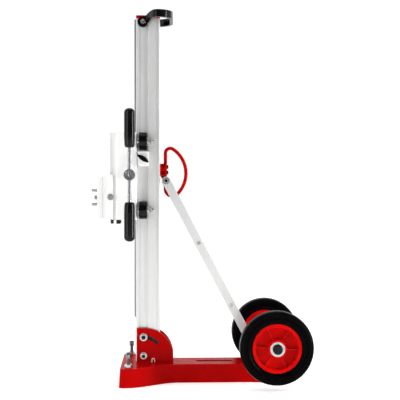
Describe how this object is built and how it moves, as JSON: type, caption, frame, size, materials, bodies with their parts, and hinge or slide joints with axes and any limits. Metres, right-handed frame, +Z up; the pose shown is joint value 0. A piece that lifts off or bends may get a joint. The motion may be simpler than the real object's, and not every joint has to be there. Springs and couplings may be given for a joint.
{
  "type": "core drill rig",
  "caption": "Wheeled core drill rig: tilting rack column on a slotted base, roller carriage fed by a cross crank, rear strut, carry handle and a coupling plate for a drill motor.",
  "frame": {"origin": "on the floor, in the mid-plane, straight below the column's tilt pivot, on the base's underside", "axes": "+X towards the wheels, -X towards the drilling side, -Y the crank side, +Z up along the column"},
  "size_m": [0.608, 0.3846, 1.0435],
  "materials": {
    "red_paint": "gloss powder coat",
    "red_rim": "moulded, semi-gloss",
    "column_aluminium": "extruded, natural anodised",
    "carriage_aluminium": "machined, fine blasted",
    "zinc_steel": "zinc plated",
    "chrome_steel": "polished",
    "rack_steel": "milled, lightly oiled",
    "black_steel": "black oxide",
    "bronze": "turned",
    "black_plastic": "moulded, fine grain",
    "tyre_rubber": "solid rubber"
  },
  "bodies": {
    "base": {"base_plate": "red_paint", "tilt_cheeks": "red_paint", "pivot_bolt": "zinc_steel", "strut_foot_lug": "red_paint", "axle_brackets": "red_paint", "stub_axles": "zinc_steel", "axle_caps": "black_plastic", "levelling_nuts": "zinc_steel"},
    "column": {"column_extrusion": "column_aluminium", "gear_rack": "rack_steel", "rack_screws": "black_steel", "end_cap": "red_paint", "pivot_bush": "bronze", "tilt_lock_bolt": "zinc_steel", "handle_spacers": "zinc_steel", "handle_screws": "zinc_steel"},
    "carry_handle_body": {"carry_handle": "black_plastic"},
    "carriage": {"carriage_housing": "carriage_aluminium", "front_plate": "carriage_aluminium", "plate_screws": "black_steel", "roller_axles": "zinc_steel", "roller_nuts": "zinc_steel", "shaft_bushes": "bronze", "brake_block": "carriage_aluminium", "brake_pad": "black_plastic", "stop_screws": "black_steel"},
    "roller_top_left_body": {"roller_top_left": "black_plastic"},
    "roller_top_right_body": {"roller_top_right": "black_plastic"},
    "roller_bottom_left_body": {"roller_bottom_left": "black_plastic"},
    "roller_bottom_right_body": {"roller_bottom_right": "black_plastic"},
    "feed": {"feed_shaft": "chrome_steel", "pinion": "rack_steel", "crank_hub": "chrome_steel", "crank_rod": "chrome_steel", "crank_grips": "black_plastic", "shaft_ring": "rack_steel"},
    "carriage_lock": {"lock_knob": "black_plastic"},
    "clamp": {"clamp_block": "red_paint", "clamp_tnut": "black_steel", "clamp_screws": "black_steel", "loop_handle": "red_paint", "strut_bolt": "zinc_steel"},
    "strut": {"strut_bars": "column_aluminium", "strut_spacers": "zinc_steel", "strut_foot_pin": "zinc_steel"},
    "wheel_left": {"tyre_left": "tyre_rubber", "rim_left": "red_rim", "bearings_left": "zinc_steel"},
    "wheel_right": {"tyre_right": "tyre_rubber", "rim_right": "red_rim", "bearings_right": "zinc_steel"},
    "screw_front_left": {"levelling_screw_front_left": "zinc_steel"},
    "screw_front_right": {"levelling_screw_front_right": "zinc_steel"},
    "screw_rear_left": {"levelling_screw_rear_left": "zinc_steel"},
    "screw_rear_right": {"levelling_screw_rear_right": "zinc_steel"},
    "coupling": {"coupling_plate": "carriage_aluminium", "machine_plate": "carriage_aluminium", "machine_studs": "zinc_steel", "cross_key": "zinc_steel"},
    "coupling_lock": {"coupling_screw": "zinc_steel"}
  },
  "joints": [
    {"name": "column_tilt", "type": "hinge", "parent": "base", "child": "column", "pos_m": [0, 0, 0.072], "axis": [0, 1, 0], "range_deg": [0, 45]},
    {"name": "carry_handle_swing", "type": "hinge", "parent": "column", "child": "carry_handle_body", "pos_m": [-0.002, 0, 1.016], "axis": [0, 1, 0], "range_deg": [-100, 35]},
    {"name": "carriage_feed", "type": "slide", "parent": "column", "child": "carriage", "axis": [0, 0, 1], "range_m": [-0.285, 0.28]},
    {"name": "roller_top_left_spin", "type": "hinge", "parent": "carriage", "child": "roller_top_left_body", "pos_m": [-0.00115, -0.0433, 0.678], "axis": [1, 0, 0], "continuous": true},
    {"name": "roller_top_right_spin", "type": "hinge", "parent": "carriage", "child": "roller_top_right_body", "pos_m": [-0.00115, 0.0433, 0.678], "axis": [1, 0, 0], "continuous": true},
    {"name": "roller_bottom_left_spin", "type": "hinge", "parent": "carriage", "child": "roller_bottom_left_body", "pos_m": [-0.00115, -0.0433, 0.484], "axis": [1, 0, 0], "continuous": true},
    {"name": "roller_bottom_right_spin", "type": "hinge", "parent": "carriage", "child": "roller_bottom_right_body", "pos_m": [-0.00115, 0.0433, 0.484], "axis": [1, 0, 0], "continuous": true},
    {"name": "feed_shaft_turn", "type": "hinge", "parent": "carriage", "child": "feed", "pos_m": [-0.036, 0, 0.5815], "axis": [0, 1, 0], "continuous": true},
    {"name": "carriage_lock_turn", "type": "hinge", "parent": "carriage", "child": "carriage_lock", "pos_m": [-0.0004, -0.064, 0.62825], "axis": [0, 1, 0], "range_deg": [-90, 90]},
    {"name": "clamp_slide", "type": "slide", "parent": "column", "child": "clamp", "axis": [0, 0, 1], "range_m": [-0.001, 0.268]},
    {"name": "strut_swing", "type": "hinge", "parent": "clamp", "child": "strut", "pos_m": [0.0635, 0, 0.5675], "axis": [0, 1, 0], "range_deg": [-1, 11]},
    {"name": "wheel_left_spin", "type": "hinge", "parent": "base", "child": "wheel_left", "pos_m": [0.362, -0.154, 0.114], "axis": [0, 1, 0], "continuous": true},
    {"name": "wheel_right_spin", "type": "hinge", "parent": "base", "child": "wheel_right", "pos_m": [0.362, 0.154, 0.114], "axis": [0, 1, 0], "continuous": true},
    {"name": "levelling_front_left", "type": "slide", "parent": "base", "child": "screw_front_left", "axis": [0, 0, 1], "range_m": [-0.016, 0.004]},
    {"name": "levelling_front_right", "type": "slide", "parent": "base", "child": "screw_front_right", "axis": [0, 0, 1], "range_m": [-0.016, 0.004]},
    {"name": "levelling_rear_left", "type": "slide", "parent": "base", "child": "screw_rear_left", "axis": [0, 0, 1], "range_m": [-0.016, 0.004]},
    {"name": "levelling_rear_right", "type": "slide", "parent": "base", "child": "screw_rear_right", "axis": [0, 0, 1], "range_m": [-0.016, 0.004]},
    {"name": "coupling_lift", "type": "slide", "parent": "carriage", "child": "coupling", "axis": [0, 0, 1], "range_m": [0, 0.118]},
    {"name": "coupling_screw_turn", "type": "hinge", "parent": "coupling", "child": "coupling_lock", "pos_m": [-0.0915, -0.057, 0.521], "axis": [0, 1, 0], "range_deg": [-180, 180]}
  ],
  "couplings": [
    {"joint": "clamp_slide", "follows": "column_tilt", "m_per_rad": 0.3398},
    {"joint": "strut_swing", "follows": "column_tilt", "ratio": 0.2393},
    {"joint": "feed_shaft_turn", "follows": "carriage_feed", "rad_per_m": 100},
    {"joint": "roller_top_left_spin", "follows": "carriage_feed", "rad_per_m": -40},
    {"joint": "roller_bottom_left_spin", "follows": "carriage_feed", "rad_per_m": -40},
    {"joint": "roller_top_right_spin", "follows": "carriage_feed", "rad_per_m": 40},
    {"joint": "roller_bottom_right_spin", "follows": "carriage_feed", "rad_per_m": 40}
  ]
}
